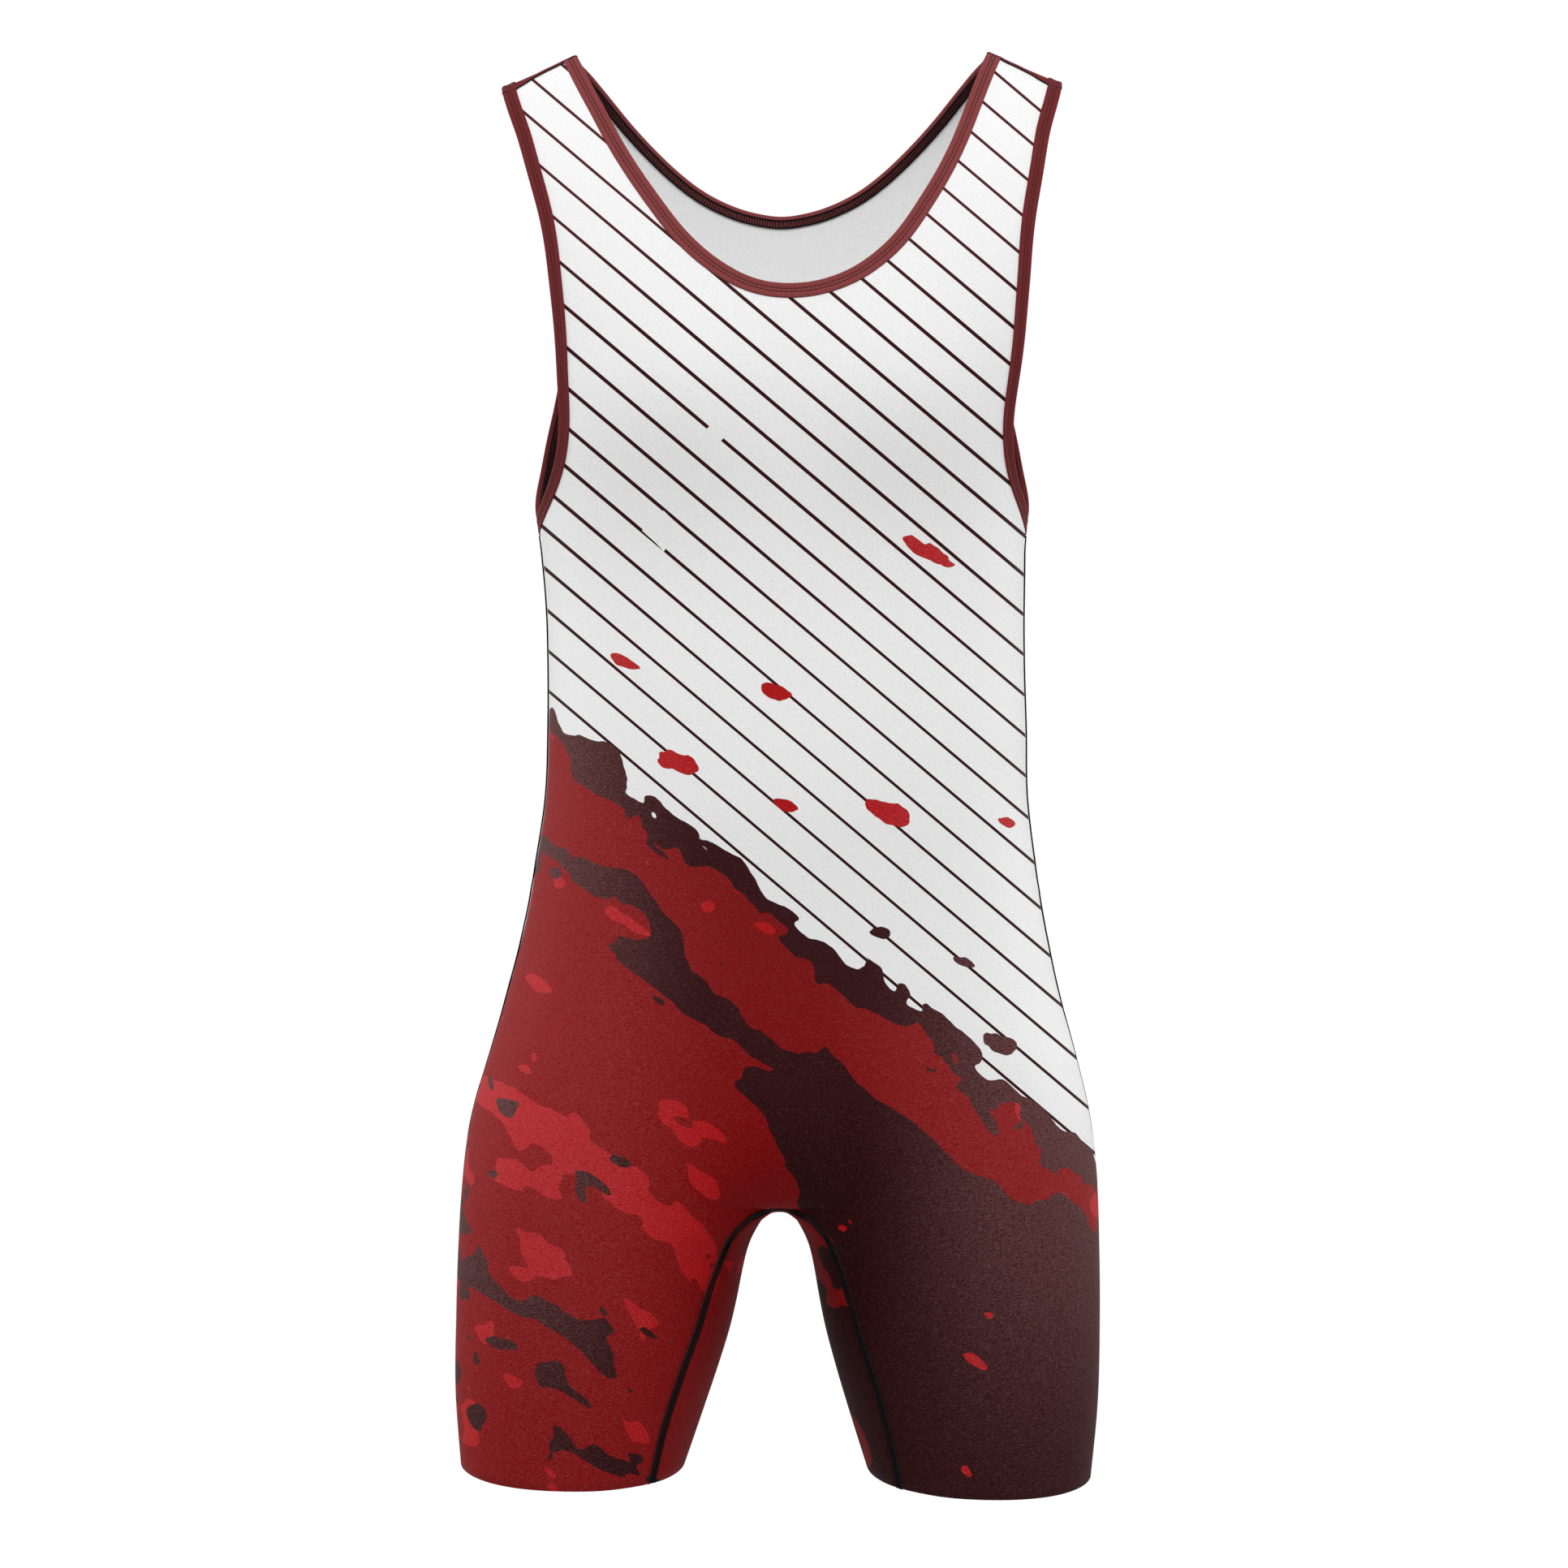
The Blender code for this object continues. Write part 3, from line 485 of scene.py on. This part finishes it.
def printedColour(axes, isFront):
    # White with fine slanted lines above a slanted edge, and drifting red patches below it
    x, y, z = axes
    far = printChoices["viewDistance"]
    soft = printChoices["soft"]
    shrink = far / (y + far)
    u = x * shrink
    v = (z - printChoices["viewHeight"]) * shrink
    slope = printChoices["blockSlope"]
    lean = math.hypot(1, slope)
    inside = (printChoices["blockEdge"] - (v + u * slope)) / lean      # down-left from the edge
    along = (u - v * slope) / lean                                     # down-right, beside it

    def patches(length, thickness, seed, detail=0.6, bend=0.25):
        field = x.noise(along / length, inside / thickness, y / length, detail, bend, seed)
        return field - 0.5

    broad = patches(0.085, 0.040, 3.0)
    lobes = patches(0.040, 0.019, 8.0, 0.9)
    waves = patches(0.021, 0.015, 14.0, 1.0)
    grain = patches(0.010, 0.007, 31.0, 1.0)
    edge = inside + lobes * 0.040 + waves * 0.022 + grain * 0.004
    # Painted shade: the dyes go darker low between the legs; the painted sheen at the sides fades lower
    # down
    low = (-0.52 - z).over(0.0, 0.16)
    paintedSheenFade = (z + 0.86).over(0.0, 0.26)
    dashes = knitDashes(x, y, z)
    yarn = dashes * 1.6 + 0.2
    # Painted glints: the tops of the yarns made paler as if they catch the light
    glint = (dashes - 0.45).over(0.0, 0.5) * printChoices["glint"]
    beside = x.maths("ABSOLUTE", u)

    def dye(name, start, reach, leastSheen):
        # One dye, with painted shade low down, painted sheen in flecks towards the sides and painted
        # glints on the yarns
        # painted shade colour, own colour, and painted sheen colour over the sides
        paintedShadeColour, usual, side = printChoices[name]
        shade = plainColour(x, usual).blendColour((*paintedShadeColour, 1), low)
        share = (beside - start).over(0.0, reach) * (paintedSheenFade * (1 - leastSheen) + leastSheen) * yarn
        return shade.blendColour((*side, 1), share).blendColour((0.8, 0.7, 0.7, 1), glint)

    red = dye("red", 0.01, 0.13, 0.40)
    bright = dye("brightRed", 0.01, 0.13, 0.40)
    black = dye("dark", 0.04, 0.12, 0.15)
    # bright patches, mostly over the wearer's right thigh
    sash = 0.013 + lobes * 0.050 + waves * 0.014 - x.maths("ABSOLUTE", inside - 0.192 + broad * 0.06)
    sash = cover(sash, 0, soft) * (0.150 - along + waves * 0.10).over(0.0, soft)
    thigh = (inside - 0.105).over(0.0, 0.04) * (0.130 - along).over(0.0, 0.05)
    spots = cover(lobes + thigh * 0.075 + waves * 0.15, 0.168, 0.006)
    colour = red.blendColour(bright, x.maths("MAXIMUM", sash, spots))
    # a ragged dark edge, a second band and the dark over the wearer's left leg
    frayed = cover(0.0150 - edge + waves * 0.050 + broad * 0.030, 0, soft)
    band = 0.0095 + (along + 0.05) * 0.03 + waves * 0.020 + grain * 0.004
    band = band - x.maths("ABSOLUTE", inside - 0.068 + broad * 0.085 + lobes * 0.020)
    legSide = along - inside * 1.25 + broad * 0.15 + lobes * 0.11 + waves * 0.020
    legTop = inside - 0.060 + (along - 0.13) * 0.10 + broad * 0.05 + lobes * 0.045 + waves * 0.012
    leg = cover(legSide, 0, soft) * cover(legTop, 0, soft)
    islands = cover(lobes + waves * 0.30, 0.215, 0.006)
    foot = (inside - 0.215).over(0.0, 0.07) * 0.115
    pools = cover(patches(0.048, 0.020, 44.0, 0.8, 0.6) + foot + waves * 0.10, 0.205, 0.006)
    leg = leg * (1 - islands)
    dark = x.maths("MAXIMUM", frayed, cover(band, 0, soft))
    dark = x.maths("MAXIMUM", dark, x.maths("MAXIMUM", leg, pools))
    colour = colour.blendColour(black, dark)
    covered = cover(edge, 0, soft)
    if not isFront:
        plain = plainColour(x, printChoices["backRed"])
        return plain.blendColour(colour, covered)
    stripeLean = math.hypot(1, printChoices["stripeSlope"])
    crossing = (v + u * printChoices["stripeSlope"] - printChoices["stripeShift"]) / stripeLean
    away = x.maths("PINGPONG", crossing, printChoices["stripeSpacing"] / 2)
    onStrap = (z + 0.19).over(0.0, 0.10)
    wide = (z + 0.38).over(0.0, 0.12) * (1 - onStrap)
    wide = wide * printChoices["stripeMore"] + printChoices["stripeWidth"]
    stripe = cover(wide / 2 - away, 0, 0.2 * mm)
    for place, height, length in printChoices["worn"]:
        gone = length - x.maths("ABSOLUTE", u - place) - x.maths("ABSOLUTE", v - height)
        stripe = stripe * (1 - cover(gone + waves * 0.004, 0, 0.3 * mm))
    upper = plainColour(x, printChoices["white"])
    ink = plainColour(x, printChoices["stripe"])
    ink = ink.blendColour((*printChoices["strapStripe"], 1), onStrap)
    upper = upper.blendColour(ink, stripe)
    for place, height, length, thickness, isDark in printChoices["drops"]:
        slide = (along - place) / length
        rise = (inside + height) / thickness + slide * 0.5
        drop = 1.0 + waves * 2.6 + grain * 2.0 - slide * slide - rise * rise
        upper = upper.blendColour(black if isDark else bright, cover(drop, 0, 0.12))
    return upper.blendColour(colour, covered)


def printedKnit(name, isFront):
    material, shader, axes = newMaterial(name, 0.70, 0.05, (1.0, 0.8, 0.8))
    dressKnit(material, shader, axes, printedColour(axes, isFront))
    return material


def plainKnit(name, colour, roughness=0.75, sheen=0.05):
    material, shader, axes = newMaterial(name, roughness, sheen)
    dressKnit(material, shader, axes, plainColour(axes[0], colour))
    return material


# The two panels as thin shells

def meshFrom(name, points, faces, materials, slots=None):
    mesh = bpy.data.meshes.new(name)
    mesh.from_pydata(np.asarray(points).tolist(), [], faces)
    for material in materials:
        mesh.materials.append(material)
    if slots is not None:
        mesh.polygons.foreach_set("material_index", slots)
    mesh.shade_smooth()
    item = bpy.data.objects.new(name, mesh)
    bpy.context.scene.collection.objects.link(item)
    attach(item, "root")
    return item


def panelShell(name, owner, outerMaterial, innerMaterial):
    own = skinTris[skinOwner == owner]
    used, packed = np.unique(own, return_inverse=True)
    tris = packed.reshape(-1, 3)
    outer = skinPoints[used]
    normals = skinNormals[used]
    inner = outer - normals * clothChoices["thickness"]
    onHem = np.isin(used, hemRims)
    away = -unit(inwardHints[used]) * clothChoices["hemRound"] * onHem[:, None]
    middle = (outer + inner) / 2 + away
    count = len(used)
    faces = tris.tolist() + (tris[:, ::-1] + count).tolist()
    slots = [0] * len(tris) + [1] * len(tris)
    edges, where, times = edgesOf(tris)
    starts = np.concatenate([tris[:, 0], tris[:, 1], tris[:, 2]])
    ends = np.concatenate([tris[:, 1], tris[:, 2], tris[:, 0]])
    rims = times[where] == 1
    for a, b in zip(starts[rims].tolist(), ends[rims].tolist()):
        faces.append([b, a, a + 2 * count, b + 2 * count])
        faces.append([b + 2 * count, a + 2 * count, a + count, b + count])
        slots += [0, 1]
    return meshFrom(name, np.concatenate([outer, inner, middle]), faces,
                    [outerMaterial, innerMaterial], slots)


insideKnit = plainKnit("insideKnit", (0.82, 0.82, 0.82))
frontCloth = panelShell("frontCloth", 0, printedKnit("frontPrint", True), insideKnit)
backCloth = panelShell("backCloth", 1, printedKnit("backPrint", False), insideKnit)
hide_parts("front_panel")
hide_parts("back_panel")
print("panels made")


# Bindings: a tape folded over the edge, with two rows of stitches outside and a ladder inside

tapeChoices = {
    "neckColour": (0.208, 0.047, 0.046),
    "armColour": (0.140, 0.021, 0.022),
    # the folded tape's section: millimetres in from the fold, and height over the cloth
    "section": (
        (8.6, 0.12), (8.65, 0.42), (8.3, 0.72), (7.5, 0.90), (6.5, 0.92), (5.8, 0.78), (5.3, 0.40),
        (4.9, 0.74), (4.4, 0.84), (3.9, 0.74), (3.5, 0.40), (3.0, 0.80), (2.1, 0.98), (1.1, 0.98),
        (0.35, 0.70), (0.0, 0.1), (-0.02, -0.5), (0.2, -1.15), (0.8, -1.5), (2.2, -1.55),
        (5.5, -1.52), (7.3, -1.48), (7.5, -1.3), (7.5, -1.0), (5.0, -0.98), (1.2, -0.98),
        (0.75, -0.8), (0.6, -0.4), (0.75, 0.05), (1.2, 0.12), (4.5, 0.12),
    ),
    "rowPlaces": (3.5, 5.3),
    "rowHeight": 0.56 * mm,
    "stitchPitch": 2.6 * mm,
    "stitchLength": 2.1 * mm,
    "stitchRadius": 0.24 * mm,
    "ladderPlaces": (2.6, 7.1),
    "ladderHeight": -1.68 * mm,
    "ladderPitch": 1.6 * mm,
    "ladderRadius": 0.42 * mm,
    "threadColour": (0.034, 0.012, 0.012),
    "ladderColour": (0.006, 0.0045, 0.005),
    "joinRadius": 0.38 * mm,
}


def ringMesh(name, rows, closed, materials):
    # A tube whose rows of points run along it
    rows = np.stack(rows, 1)
    if closed:
        rows = rows[:-1]
    count, width = rows.shape[:2]
    k, i = np.meshgrid(np.arange(count if closed else count - 1), np.arange(width), indexing="ij")
    a = k * width + i
    b = k * width + (i + 1) % width
    c = ((k + 1) % count) * width + (i + 1) % width
    d = ((k + 1) % count) * width + i
    faces = np.stack([a, b, c, d], -1).reshape(-1, 4)
    item = meshFrom(name, rows.reshape(-1, 3), faces.tolist(), materials)
    return item


def tubes(name, paths, ups, radius, sides, material):
    # Threads of the same number of points each, round in section
    paths = np.asarray(paths)
    along = unit(np.gradient(paths, axis=1))
    across = unit(np.cross(along, ups))
    up = np.cross(across, along)
    turns = np.arange(sides) * 2 * math.pi / sides
    ring = (np.cos(turns)[:, None] * across[:, :, None] + np.sin(turns)[:, None] * up[:, :, None])
    points = paths[:, :, None] + ring * radius
    count, steps = paths.shape[:2]
    n, k, i = np.meshgrid(np.arange(count), np.arange(steps - 1), np.arange(sides), indexing="ij")
    base = (n * steps + k) * sides
    j = (i + 1) % sides
    faces = np.stack([base + i, base + j, base + sides + j, base + sides + i], -1).reshape(-1, 4).tolist()
    caps = []
    for n in range(count):
        first = n * steps * sides
        last = first + (steps - 1) * sides
        caps.append(list(range(first + sides - 1, first - 1, -1)))
        caps.append(list(range(last, last + sides)))
    return meshFrom(name, points.reshape(-1, 3), faces + caps, [material])


def joined(name, items):
    # Several meshes with the same material as one piece
    keep = items[0]
    with bpy.context.temp_override(active_object=keep, selected_editable_objects=items):
        bpy.ops.object.join()
    keep.name = name
    return keep


def dashes(line, place, choices, height):
    starts = np.arange(int(line.length / choices["stitchPitch"])) * line.length
    starts = starts / int(line.length / choices["stitchPitch"])
    shares = np.array([0.0, 0.16, 0.5, 0.84, 1.0])
    dips = np.array([-0.24, 0.04, 0.06, 0.04, -0.24]) * mm
    arcs = starts[:, None] + shares * choices["stitchLength"]
    base = line.beside(place * mm - lineChoices["tapePull"])
    ups = line.at(line.normals, arcs)
    return line.at(base, arcs) + ups * (height + dips)[..., None], ups


def ladder(name, line, places, height, pitch, radius, material, slant=0.35, edgeSwell=1.3):
    # Two edge threads with slanted rungs between them
    sign = 1 if np.mean(height) > 0 else -1
    edges = [line.beside(place) + line.normals * height for place in places]
    count = int(line.length / pitch)
    arcs = np.arange(count) * line.length / count
    shares = np.array([0.0, 0.12, 0.5, 0.88, 1.0])
    dips = np.array([-0.15, 0.1, 0.16, 0.1, -0.15]) * mm * sign
    rungArcs = arcs[:, None] + shares * pitch * slant
    ups = line.at(line.normals, rungArcs)
    low = line.at(edges[0], rungArcs)
    high = line.at(edges[1], rungArcs)
    rungs = low + (high - low) * shares[:, None] + ups * dips[:, None]
    made = [tubes(name, rungs, ups, radius, 5, material)]
    fine = np.linspace(0, line.length, int(line.length / (pitch * 0.5)) + 1)
    bead = np.where(np.arange(len(fine)) % 2 == 0, 0.06, -0.04) * mm * sign
    for edge in edges:
        ups = line.at(line.normals, fine)
        path = line.at(edge, fine) + ups * bead[:, None]
        made.append(tubes(name, path[None], ups[None], radius * edgeSwell, 6, material))
    return joined(name, made)


def threadMaterial(name, colour):
    material, shader, axes = newMaterial(name, 0.6, 0.1)
    x, y, z = axes
    twist = x.noise(x * 2600, y * 2600, z * 2600, detail=1.0)
    shade = plainColour(x, colour).blendColour((*[c * 1.8 for c in colour], 1), twist)
    plug(shade, shader, "Base Color")
    return material


topThread = threadMaterial("topThread", tapeChoices["threadColour"])
ladderThread = threadMaterial("ladderThread", tapeChoices["ladderColour"])
neckKnit = plainKnit("neckTapeKnit", tapeChoices["neckColour"], 0.8, 0.08)
armKnit = plainKnit("armTapeKnit", tapeChoices["armColour"], 0.8, 0.08)


def binding(name, node, line, material):
    # One folded tape with its sewing; returns the pieces
    pull = lineChoices["tapePull"]
    rows = [line.beside(s * mm - pull, h * mm) for s, h in tapeChoices["section"]]
    tape = ringMesh(name + "Tape", rows, True, [material])
    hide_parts(node)
    sewn = []
    for place in tapeChoices["rowPlaces"]:
        paths, ups = dashes(line, place, tapeChoices, np.full(5, tapeChoices["rowHeight"]))
        sewn.append(tubes(name + "Stitches", paths, ups, tapeChoices["stitchRadius"], 5, topThread))
    for seam in shoulderLines.values():
        ends = [seam.points[0], seam.points[-1]]
        gaps = [np.linalg.norm(line.points - end, axis=1) for end in ends]
        gap = min(gaps, key=min)
        if gap.min() > 0.01:
            continue
        k = int(gap.argmin())
        outer = [(s, h + 0.12) for s, h in tapeChoices["section"][:16]]
        spots = [(line.beside(s * mm - pull, h * mm)[k]) for s, h in outer]
        ups = np.repeat(line.normals[k][None], len(spots), 0)
        sewn.append(tubes(name + "Join", np.array(spots)[None], ups[None],
                          tapeChoices["joinRadius"], 6, topThread))
    stitches = joined(name + "Stitches", sewn)
    places = [place * mm - pull for place in tapeChoices["ladderPlaces"]]
    cover = ladder(name + "Coverstitch", line, places, tapeChoices["ladderHeight"],
                   tapeChoices["ladderPitch"], tapeChoices["ladderRadius"], ladderThread)
    return tape, [stitches, cover]


neckTape, neckSewing = binding("neck", "neck_binding", neckLine, neckKnit)
for side, line in armLines.items():
    binding("arm" + side.title(), "armhole_binding_" + side, line, armKnit)
print("bindings made")


# Seams: a flat black ladder down both sides and round the inner legs, a plain join on each shoulder

seamChoices = {
    "halfWidth": 2.35 * mm,
    "height": 0.22 * mm,
    # how far the side seams stand up from the cloth at the hips and higher, and lower down
    "ridge": (1.0 * mm, 0.3 * mm),
    "ridgeEnds": (-0.52, -0.60),
    "forward": 1.5 * mm,          # and how far they lie towards the front
    "pitch": 0.85 * mm,
    "threadRadius": 0.27 * mm,
    # the shoulder join: a roll towards the back and a thread in front of it
    "roll": (-0.35 * mm, 0.35 * mm, 1.15 * mm),
    "rollColour": (0.100, 0.019, 0.020),
    "joinThread": (0.95 * mm, 0.25 * mm, 0.42 * mm),
}


def flatSeam(name, line, height, shift=0.0):
    half = seamChoices["halfWidth"]
    item = ladder(name, line, (shift - half, shift + half), height, seamChoices["pitch"],
                  seamChoices["threadRadius"], ladderThread)
    return item


sideSeams = []
for side, line in sideLines.items():
    if line.across[:, 1].mean() > 0:
        line.across = -line.across
    high, low = seamChoices["ridge"]
    top, bottom = seamChoices["ridgeEnds"]
    lift = np.interp(line.points[:, 2], [bottom, top], [low, high])[:, None]
    seam = flatSeam("sideSeam" + side.title(), line, lift, seamChoices["forward"])
    sideSeams.append(seam)
inseam = flatSeam("inseam", inseamLine, seamChoices["height"])
rollThread = threadMaterial("shoulderRoll", seamChoices["rollColour"])
for side, line in shoulderLines.items():
    if line.across[:, 1].mean() > 0:
        line.across = -line.across
    parts = []
    for choice, material in (("roll", rollThread), ("joinThread", ladderThread)):
        reach, height, radius = seamChoices[choice]
        path = line.points + line.across * reach + line.normals * height
        parts.append(tubes(choice, path[None], line.normals[None], radius, 8, material))
    seam = joined("shoulderSeam" + side.title(), parts)
print("seams made")


sideSeams + [inseam]


# Studio

studioChoices = {
    "cameraPlace": (0.0012, -1.6, -0.43),
    "lens": 62.1,
    "floorHeight": -1.6,
    "floorSize": 3.0,
    "skyLight": 0.23,
    "lights": (
        # name, place, size, watts
        ("frontTop", (0.0, -2.1, 1.25), 1.3, 51.0),
        ("overhead", (0.0, -0.8, 2.0), 0.9, 9.0),
        ("leftSide", (2.2, 0.1, 0.1), 1.8, 15.0),
        ("rightSide", (-2.2, 0.1, 0.1), 1.8, 15.0),
        ("leftRim", (2.0, 0.9, 0.1), 1.2, 18.0),
        ("rightRim", (-2.0, 0.9, 0.1), 1.2, 18.0),
    ),
}

cameraData = bpy.data.cameras.new("camera")
cameraData.lens = studioChoices["lens"]
cameraData.sensor_width = 36.0
camera = bpy.data.objects.new("camera", cameraData)
camera.location = studioChoices["cameraPlace"]
camera.rotation_euler = (math.pi / 2, 0, 0)
bpy.context.scene.collection.objects.link(camera)
bpy.context.scene.camera = camera

aim = Vector((0, 0, studioChoices["cameraPlace"][2]))
for name, place, size, watts in studioChoices["lights"]:
    lamp = bpy.data.lights.new(name, "AREA")
    lamp.size = size
    lamp.energy = watts
    item = bpy.data.objects.new(name, lamp)
    item.location = place
    item.rotation_euler = (aim - Vector(place)).to_track_quat("-Z", "Y").to_euler()
    bpy.context.scene.collection.objects.link(item)

world = bpy.data.worlds.new("studio")
bpy.context.scene.world = world
world.use_nodes = True
sky = world.node_tree.nodes["Background"]
sky.inputs["Color"].default_value = (1, 1, 1, 1)
seen = world.node_tree.nodes.new("ShaderNodeLightPath")
sky.inputs["Strength"].default_value = studioChoices["skyLight"]
strength = Wire(world.node_tree, seen.outputs["Is Camera Ray"])
strength = strength * (1.0 - studioChoices["skyLight"]) + studioChoices["skyLight"]
world.node_tree.links.new(strength.socket, sky.inputs["Strength"])

half = studioChoices["floorSize"] / 2
low = studioChoices["floorHeight"]
floorMesh = bpy.data.meshes.new("floor")
floorMesh.from_pydata([(-half, -half, low), (half, -half, low), (half, half, low), (-half, half, low)],
                      [], [(0, 1, 2, 3)])
floorPaint, floorShader, floorAxes = newMaterial("floorPaint", 0.8)
floorShader.inputs["Base Color"].default_value = (0.9, 0.9, 0.9, 1)
floorMesh.materials.append(floorPaint)
floor = bpy.data.objects.new("floor", floorMesh)
bpy.context.scene.collection.objects.link(floor)

bpy.context.scene.view_settings.view_transform = "Standard"
bpy.context.scene.view_settings.look = "None"
print("studio ready")
